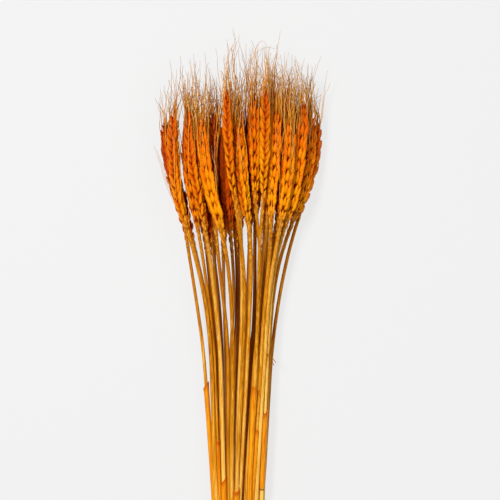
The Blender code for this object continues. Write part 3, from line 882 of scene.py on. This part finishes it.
# what differs from stalk to stalk, in the order in which it is drawn; the ears beneath are the reddest and
# darkest, which is painted shade under the others
stalkSeed = 7
stalkLooks = {
    "tint": (0.0, 1.0),
    "node": (-30.0, 70.0),
    "sheathTop": (-60.0, 60.0),
    "sheathLength": (95.0, 150.0),
    "beadLength": (18.0, 44.0),
    "beadPitch": (3.4, 5.2),
    "thickness": (0.86, 1.08),
    "paintedShade": (0.0, 0.12),
    "slantSide": (0.0, 2.0 * math.pi),
    "collar": (19.0, 29.0),
    "earTint": (1.4, 2.1),
    "awnReach": (13.0, 27.0),
    "taper": (0.0, 1.0),
    "width": (1.08, 1.18),
}
# the straws beneath carry much more painted shade
lowerLooks = {**stalkLooks, "paintedShade": (0.35, 0.85), "collar": (22.0, 36.0)}
# each ear that shows: how red it is, from yellow at 0 to red at 1, how wide, how many awns it keeps, how
# far they stand above it in millimetres, and 0 for a blunt foot or 1 for one that narrows slowly
shownLooks = {
    "earTint": [0.8, 0.35, 0.6, 0.45, 0.38, 0.95, 0.35, 0.95, 0.2,
                0.5, 0.2, 0.8, 0.35, 0.4, 0.35, 0.5, 0.45, 0.6],
    "width": [0.95, 1.0, 0.95, 1.0, 1.1, 1.0, 1.0, 1.0, 1.0, 1.0, 1.03, 0.9, 1.05, 1.0, 1.08, 1.08, 1.0, 1.0],
    "awnCrowd": [0.5, 0.5, 0.8, 0.8, 1.0, 1.0, 0.4, 0.8, 0.6, 0.7, 0.4, 0.7, 1.0, 1.0, 1.0, 0.8, 0.9, 0.7],
    "awnReach": [20, 44, 31, 30, 37, 28, 49, 50, 35, 42, 32, 29, 32, 18, 30, 21, 28, 25],
    "taper": [0.6, 0.2, 0.7, 0.5, 0.0, 0.3, 0.9, 0.6, 0.3, 0.8, 0.6, 0.5, 0.3, 0.6, 0.5, 0.3, 0.5, 0.8],
}


def drawLook(rng, n):
    shown = ears[n]["shown"]
    look = {key: rng.uniform(*span) for key, span in (stalkLooks if shown else lowerLooks).items()}
    look["awnCrowd"] = earSizes["lowerCrowd"]
    if n + 1 in shownSheaths:
        top, length = shownSheaths[n + 1]
        look.update(sheathTop=top, sheathLength=length, node=top - length)
    if shown:
        look.update({key: values[n] for key, values in shownLooks.items()})
    return look


def strawRadius(ear, y):
    t = (y - bunch["cutEnd"]) / (ear["foot"][1] - bunch["cutEnd"])
    return mix(strawSizes["radiusLow"], strawSizes["radiusTop"], max(t, 0.0))


def buildTubeTree():
    tree, inputs = newTree("tubeTree", {
        "Sides": "Int", "Slant": "Float", "Slant Side": "Vector", "Material": "Material"})
    axis = toCurve(tree, inputs["Geometry"])
    tube = sweep(tree, axis, inputs["Sides"], mm, named(tree, "radius"))
    normal = addNode(tree, "GeometryNodeInputNormal")
    side = addNode(tree, "ShaderNodeVectorMath", {0: normal, 1: inputs["Slant Side"]}, "Value",
                   operation="DOT_PRODUCT")
    slide = times(tree, times(tree, side, inputs["Slant"]), named(tree, "torn"))
    slanted = moveBy(tree, tube, combine(tree, 0.0, slide))
    endTree(tree, join(tree, [slanted]), inputs["Material"])
    return tree


def strawLine(ear, look):
    s = strawSizes
    foot, node, beads = ear["foot"][1], look["node"], ear["foot"][1] - look["beadLength"]
    at = [*np.arange(ear["end"], beads, s["step"]), *np.arange(beads, foot + s["intoEar"], s["beadStep"]),
          *(node + s["nodeLength"] * np.linspace(-s["nodeReach"], s["nodeReach"], s["nodeRings"]))]
    rows = []
    for y in sorted(at):
        near = math.exp(-((y - node) / s["nodeLength"]) ** 2)
        # small scars and bumps where the lowest scales have dropped, uneven along the straw
        ripple = math.sin(s["beadRipple"] * y + s["beadTurn"] * look["tint"])
        beaded = limit((y - beads) / s["beadFade"]) * (1.0 + s["beadUneven"] * (ripple - 1.0))
        drift = s["beadDrift"] * math.sin(s["beadDriftRipple"] * y)
        bulge = abs(math.sin(math.pi * y / look["beadPitch"] + drift))
        low = limit((s["paleFrom"] - y) / (s["paleFrom"] - s["paleTo"]))
        upper = limit(1.0 - (foot - y) / s["upperLength"])
        rows.append({
            "radius": strawRadius(ear, y) * look["thickness"] + s["nodeSwell"] * near
            + s["beadSwell"] * beaded * (bulge - s["beadLevel"]),
            # between the beads the straw is painted dark, as shade in the grooves, and on their crests pale,
            # as a painted highlight
            "knot": max(near ** 3, s["beadGrooveShade"] * beaded * (1.0 - bulge) ** 2),
            "pale": max(low, s["beadCrestHighlight"] * beaded * bulge ** 3),
            "upper": upper,
            "paintedShade": look["paintedShade"] * mix(s["paintedShadeLow"], 1.0, upper) * (1.0 - s["paintedShadePale"] * low)})
    points = [stalkPoint(ear, y) for y in sorted(at)]
    return lineMesh(points, rows, tint=look["tint"], sheath=0.0, torn=0.0)


def sheathLine(ear, look):
    s = sheaths
    top = look["sheathTop"]
    bottom = max(top - look["sheathLength"], ear["end"] + s["endRoom"])
    bend = top - s["tipLength"]
    at = [*np.arange(bottom, bend, s["step"]), *np.arange(bend, top + s["tipStep"] / 2.0, s["tipStep"])]
    rows = []
    for y in at:
        wide = math.exp(-(top - y) / s["mouthLength"])
        closed = min((y - bottom) / s["footLength"], 1.0)
        rows.append({"radius": strawRadius(ear, y) + s["extraRadius"] * closed + s["mouth"] * wide,
                     "torn": math.exp(-((top - y) / s["tornLength"]) ** 2)})
    points = [stalkPoint(ear, y) for y in at]
    return lineMesh(points, rows, sheath=1.0, knot=0.0, pale=0.0, tint=look["tint"])


def earLine(ear, look):
    # one point for each spikelet
    low, high = ear["foot"][1] - look["collar"], ear["tip"][1] - earSizes["tipRoom"]
    points, y = [], low
    while y < high:
        points.append(stalkPoint(ear, y))
        y += readTable(earPitch, (y - low) / (high - low))
    return lineMesh(points)


def openEnd(mesh, wall, depth):
    # a cut straw is a hollow tube
    bm = bmesh.new()
    bm.from_mesh(mesh)
    cap = min(bm.faces, key=lambda face: face.calc_center_median().y)
    bmesh.ops.inset_region(bm, faces=[cap], thickness=wall, use_even_offset=True)
    hole = bmesh.ops.extrude_face_region(bm, geom=[cap])
    moved = [v for v in hole["geom"] if isinstance(v, bmesh.types.BMVert)]
    bmesh.ops.translate(bm, verts=moved, vec=(0.0, depth, 0.0))
    bmesh.ops.delete(bm, geom=[cap], context="FACES")
    bmesh.ops.recalc_face_normals(bm, faces=bm.faces[:])
    bm.to_mesh(mesh)
    bm.free()


# single threads that stand out from the rest: stalk, x and y of the points, and whether it is an awn
# or a dark fibre of a straw
threads = [
    (16, "fibre", [(21.0, 219.0), (24.5, 217.5), (28.0, 214.5), (31.5, 210.0)]),
    (16, "fibre", [(23.5, 217.0), (27.5, 212.5), (30.0, 207.5)]),
    (1, "awn", [(-51.0, 343.0), (-59.5, 358.0), (-66.5, 377.0), (-72.5, 395.0)]),
    (1, "awn", [(-54.0, 352.0), (-61.0, 366.0), (-66.5, 381.0), (-70.0, 391.0)]),
    (1, "awn", [(-49.5, 336.0), (-57.0, 349.0), (-62.5, 362.0), (-66.0, 374.0)]),
    (10, "awn", [(13.0, 444.0), (12.8, 470.0), (15.5, 481.0), (20.5, 484.5), (24.0, 479.0)]),
    (10, "awn", [(10.0, 446.0), (9.5, 466.0), (15.0, 475.0), (24.0, 478.5), (31.0, 476.5)]),
    (7, "awn", [(-9.0, 444.0), (-9.4, 472.6), (-4.2, 479.4), (-2.5, 486.2), (-5.9, 494.0)]),
    (17, "awn", [(60.0, 428.0), (62.0, 440.0), (64.5, 456.0), (69.7, 470.9)]),
]
threadSizes = {
    "radius": {"fibre": (0.30, 0.30), "awn": (0.28, 0.11)},
    "sides": 5,
    "rise": 2.0,
    "along": (0.3, 1.0),
    "knot": 0.6,
    "tint": 0.55,
}


def smoothPlaces(places):
    # rounder line through a few points: each corner is cut twice
    for _ in range(2):
        cut = [places[0]]
        for (x1, y1), (x2, y2) in zip(places, places[1:]):
            cut += [(mix(x1, x2, t), mix(y1, y2, t)) for t in (0.25, 0.75)]
        places = cut + [places[-1]]
    return places


def makeThreads(tree, materials):
    s = threadSizes
    for n, (stalk, kind, places) in enumerate(threads):
        ear = ears[stalk - 1]
        z = smoothLine(ear["line"], min(places[0][1], ear["tip"][1]))[1] + s["rise"]
        points = [place(x, y, z) for x, y in smoothPlaces(places)]
        rows = [{"radius": mix(*s["radius"][kind], t), "along": mix(*s["along"], t)}
                for t in np.linspace(0.0, 1.0, len(points))]
        thread = growPiece(f"thread_{n + 1}", lineMesh(points, rows, knot=s["knot"], tint=s["tint"]), tree,
                           {"Sides": s["sides"], "Slant": 0.0, "Material": materials[kind]})
        thread.data.shade_smooth()
        placePiece(thread, f"stalk_{stalk:02d}")


def makeStalks():
    scaleMaterial, awnMaterial, strawMaterial = makeScaleMaterial(), makeAwnMaterial(), makeStrawMaterial()
    shape = makeScaleShape()
    earTree, tubeTree = buildEarTree(), buildTubeTree()
    rng = random.Random(stalkSeed)
    for n, ear in enumerate(ears):
        number = f"{n + 1:02d}"
        look = drawLook(rng, n)
        straw = growPiece("straw_" + number, strawLine(ear, look), tubeTree,
                          {"Sides": strawSizes["sides"], "Slant": 0.0, "Material": strawMaterial})
        openEnd(straw.data, strawSizes["wall"] * mm, strawSizes["hollow"] * mm)
        side = look["slantSide"]
        sheath = growPiece("sheath_" + number, sheathLine(ear, look), tubeTree,
                           {"Sides": sheaths["sides"], "Slant": sheaths["slant"] * mm,
                            "Slant Side": (math.cos(side), 0.0, math.sin(side)),
                            "Material": strawMaterial})
        for tube in (straw, sheath):
            tube.data.shade_smooth()
        head = growPiece("ear_" + number, earLine(ear, look), earTree, {
            "Awn Crowd": look["awnCrowd"], "Turn": -ear["turn"], "Taper": look["taper"],
            "Tint": look["earTint"], "Size": look["width"], "Seed": n * earSizes["earSeedStep"],
            "Scale Shape": shape, "Awn Reach": look["awnReach"] * mm,
            "Awn Most": earSizes["awnMost"] * mm, "Awn Radius": earSizes["awnRadius"] * mm,
            "Awn Bend": earSizes["awnBend"] * mm, "Scale Material": scaleMaterial,
            "Awn Material": awnMaterial})
        for piece in (straw, sheath, head):
            placePiece(piece, "stalk_" + number)
    makeThreads(tubeTree, {"fibre": strawMaterial, "awn": awnMaterial})
    bpy.data.objects.remove(shape, do_unlink=True)
    print("stalks grown")


twine = {
    "radius": 1.15,
    "turns": 5,
    "pitch": 2.5,
    "clearance": 0.35,
    "floorGap": 0.1,
    "strawPoints": 24,
    "plies": 3,
    "plyRadius": 0.64,
    "plyOffset": 0.56,
    "plySides": 6,
    "twistLength": 6.5,
    "step": 0.9,
    "smoothSteps": 20,
    "knotRise": 1.7,
    "tails": (21.08, 17.0),
}
twineFinish = {
    "fibre": [(0.36, (0.26, 0.15, 0.055)), (0.62, (0.66, 0.49, 0.27))],
    "coarse": (900.0, 4.0, 0.7),
    "fine": (3200.0, 2.0),
    "shares": (0.6, 0.4),
    "depth": (0.6, 0.0003),
    "roughness": 0.85,
    "specular": 0.15,
}


def makeTwineMaterial():
    f = twineFinish
    material, tree, shader = newMaterial("rawTwine", f)
    spot = objectSpot(tree)
    grains = (noise(tree, spot, *f["coarse"]), noise(tree, spot, *f["fine"]))
    level = weighted(tree, grains, f["shares"])
    setSurface(tree, shader, colourRamp(tree, level, f["fibre"]), level, f["depth"])
    return material


def hull(points):
    # the outline round a set of points, counterclockwise
    points = sorted(set(points))
    halves = []
    for run in (points, points[::-1]):
        chain = []
        for p in run:
            while len(chain) > 1 and ((chain[-1][0] - chain[-2][0]) * (p[1] - chain[-2][1])
                                      - (chain[-1][1] - chain[-2][1]) * (p[0] - chain[-2][0])) <= 0:
                chain.pop()
            chain.append(p)
        halves.append(chain[:-1])
    return halves[0] + halves[1]


def runLength(points):
    # how far along the line each point is
    return np.concatenate([[0.0], np.cumsum(np.linalg.norm(np.diff(points, axis=0), axis=1))])


def tieOutline():
    # where the middle of the twine runs round the straws, as points the same distance apart
    reach = strawSizes["radiusLow"] + sheaths["extraRadius"] + twine["clearance"] + twine["radius"]
    lowest = twine["radius"] + twine["floorGap"]
    angles = 2.0 * math.pi * np.arange(twine["strawPoints"]) / twine["strawPoints"]
    spots = []
    for ear in ears:
        for y in (-bunch["tieHalfWidth"], bunch["tieHalfWidth"]):
            x, z = smoothLine(ear["line"], y)
            for a in angles:
                spots.append((round(float(x + reach * math.cos(a)), 4),
                              round(float(max(z + reach * math.sin(a), lowest)), 4)))
    ring = np.array(hull(spots))
    ring = np.vstack([ring, ring[:1]])
    run = runLength(ring)
    at = np.linspace(0.0, run[-1], int(run[-1] / twine["step"]), endpoint=False)
    return np.stack([np.interp(at, run, ring[:, 0]), np.interp(at, run, ring[:, 1])], axis=1)


def twinePath(outline):
    # the turns side by side, starting on top
    count = len(outline)
    top = int(np.argmax(outline[:, 1]))
    width = (twine["turns"] - 1) * twine["pitch"]
    total = twine["turns"] * count
    path = []
    for k in range(total + 1):
        x, z = outline[(top + k) % count]
        path.append((x, width * (k / total - 0.5), z))
    return path


def knotPaths(outline):
    # a half knot on top of the turns and its two loose ends on the straws: x from the highest straw and
    # y from the middle of the tie in millimetres, and height in radii of the twine
    half = (twine["turns"] - 1) * twine["pitch"] / 2.0
    loopTail, otherTail = twine["tails"]
    loop = [(-1.0, -half - 2.5, -1.9), (-2.4, -half, -0.3), (-2.8, -1.5, 0.4), (-0.6, 1.6, 1.0),
            (2.4, 0.9, 0.5), (2.6, -1.6, 0.3), (0.2, -1.9, 1.7), (-3.4, 1.9, 0.9), (-5.6, 6.5, -0.2),
            (-7.6, 13.0, -2.3), (-9.8, loopTail, -3.6)]
    other = [(1.2, half + 2.2, -1.9), (2.8, half, -0.4), (1.2, 1.0, 0.2), (-1.8, -0.6, 0.6),
             (1.0, -2.9, 1.4), (4.8, -1.2, 0.2), (7.4, 3.0, -0.9), (8.8, 9.0, -2.4),
             (10.0, otherTail, -3.8)]
    x, z = outline[int(np.argmax(outline[:, 1]))]
    r, lift = twine["radius"], twine["knotRise"]
    return [[(x + dx, y, z + r * (lift + rise)) for dx, y, rise in way] for way in (loop, other)]


def smoothPath(points, step):
    # a rounded path through a few points, with points the same distance apart
    points = np.array(points)
    padded = np.vstack([2 * points[0] - points[1], points, 2 * points[-1] - points[-2]])
    fine = []
    for k in range(1, len(padded) - 2):
        p0, p1, p2, p3 = padded[k - 1:k + 3]
        for t in np.linspace(0.0, 1.0, twine["smoothSteps"], endpoint=False):
            fine.append(0.5 * (2 * p1 + (p2 - p0) * t + (2 * p0 - 5 * p1 + 4 * p2 - p3) * t ** 2
                               + (3 * p1 - p0 - 3 * p2 + p3) * t ** 3))
    fine = np.array(fine + [points[-1]])
    run = runLength(fine)
    return [tuple(float(np.interp(d, run, fine[:, c])) for c in range(3))
            for d in np.arange(0.0, run[-1], step)]


def buildTwineTree():
    tree, inputs = newTree("twineTree", {
        "Ply Radius": "Float", "Ply Offset": "Float", "Twist Length": "Float", "Material": "Material"})
    axis = toCurve(tree, inputs["Geometry"])
    tangent = addNode(tree, "GeometryNodeInputTangent")
    normal = addNode(tree, "GeometryNodeInputNormal")
    across = vectorNode(tree, "CROSS_PRODUCT", tangent, normal)
    length = addNode(tree, "GeometryNodeSplineParameter", output="Length")
    turn = times(tree, mathNode(tree, "DIVIDE", length, inputs["Twist Length"]), 2.0 * math.pi)
    plies = []
    for k in range(twine["plies"]):
        angle = plus(tree, turn, 2.0 * math.pi * k / twine["plies"])
        along = vectorNode(tree, "SCALE", normal, mathNode(tree, "COSINE", angle))
        aside = vectorNode(tree, "SCALE", across, mathNode(tree, "SINE", angle))
        offset = vectorNode(tree, "SCALE", vectorNode(tree, "ADD", along, aside), inputs["Ply Offset"])
        plies.append(sweep(tree, moveBy(tree, axis, offset), twine["plySides"], inputs["Ply Radius"]))
    endTree(tree, smoothShade(tree, join(tree, plies)), inputs["Material"])
    return tree


def makeTie():
    outline = tieOutline()
    paths = [twinePath(outline)] + [smoothPath(p, twine["step"]) for p in knotPaths(outline)]
    mesh = bpy.data.meshes.new("twinePaths")
    verts, edges, length = [], [], 0.0
    for path in paths:
        first = len(verts)
        length += sum(math.dist(a, b) for a, b in zip(path, path[1:]))
        verts += [tuple(place(*p)) for p in path]
        edges += [(first + i, first + i + 1) for i in range(len(path) - 1)]
    mesh.from_pydata(verts, edges, [])
    tie = growPiece("twineTie", mesh, buildTwineTree(), {
        "Ply Radius": twine["plyRadius"] * mm, "Ply Offset": twine["plyOffset"] * mm,
        "Twist Length": twine["twistLength"] * mm, "Material": makeTwineMaterial()})
    placePiece(tie, "tie")
    print("tie wound, twine", round(length), "mm")


stage = {
    "floorHalf": 3.0,
    "floorDrop": 0.0005,
    "floor": {"roughness": 0.8, "specular": 0.1, "grey": 0.12, "glow": 0.745},
    "frameWidth": 0.425,
    "lens": 400.0,
    "sensor": 36.0,
    "aim": (9.35, 306.0, 30.0),
    "farthest": 20.0,
    "world": 0.20,
    # place in metres from the tie, size and power
    "lights": {"key": ((-0.66, 0.70, 1.72), 0.38, 31.0), "fill": ((0.9, 0.1, 1.5), 0.9, 7.0)},
    "lightAim": (0.0, 0.3, 0.02),
}


def makeStage():
    s = stage
    scene = bpy.context.scene
    white = (1.0, 1.0, 1.0, 1.0)
    mesh = bpy.data.meshes.new("floor")
    corners = [(s["floorHalf"] * x, s["floorHalf"] * y, 0) for x, y in ((-1, -1), (1, -1), (1, 1), (-1, 1))]
    mesh.from_pydata(corners, [], [(0, 1, 2, 3)])
    floor = bpy.data.objects.new("floor", mesh)
    scene.collection.objects.link(floor)
    material, tree, shader = newMaterial("paleFloor", s["floor"])
    setInputs(tree, shader, {"Base Color": (*(s["floor"]["grey"],) * 3, 1.0), "Emission Color": white,
                             "Emission Strength": s["floor"]["glow"]})
    mesh.materials.append(material)
    floor.location.z = -s["floorDrop"]
    data = bpy.data.cameras.new("camera")
    camera = bpy.data.objects.new("camera", data)
    scene.collection.objects.link(camera)
    data.lens = s["lens"]
    data.sensor_width = s["sensor"]
    data.clip_end = s["farthest"]
    distance = s["frameWidth"] * s["lens"] / s["sensor"]
    camera.location = place(*s["aim"]) + Vector((0.0, 0.0, distance))
    scene.camera = camera
    scene.world = bpy.data.worlds.new("studio")
    scene.world.use_nodes = True
    background = scene.world.node_tree.nodes["Background"]
    setInputs(scene.world.node_tree, background, {0: white, 1: s["world"]})
    for name, (at, size, power) in s["lights"].items():
        light = bpy.data.lights.new(name, "AREA")
        light.size = size
        light.energy = power
        lamp = bpy.data.objects.new(name, light)
        scene.collection.objects.link(lamp)
        lamp.location = Vector(at) + shift
        towards = Vector(s["lightAim"]) + shift - lamp.location
        lamp.rotation_euler = towards.to_track_quat("-Z", "Y").to_euler()
    scene.view_settings.view_transform = "Standard"
    print("stage set")


makeStalks()
makeTie()
makeStage()
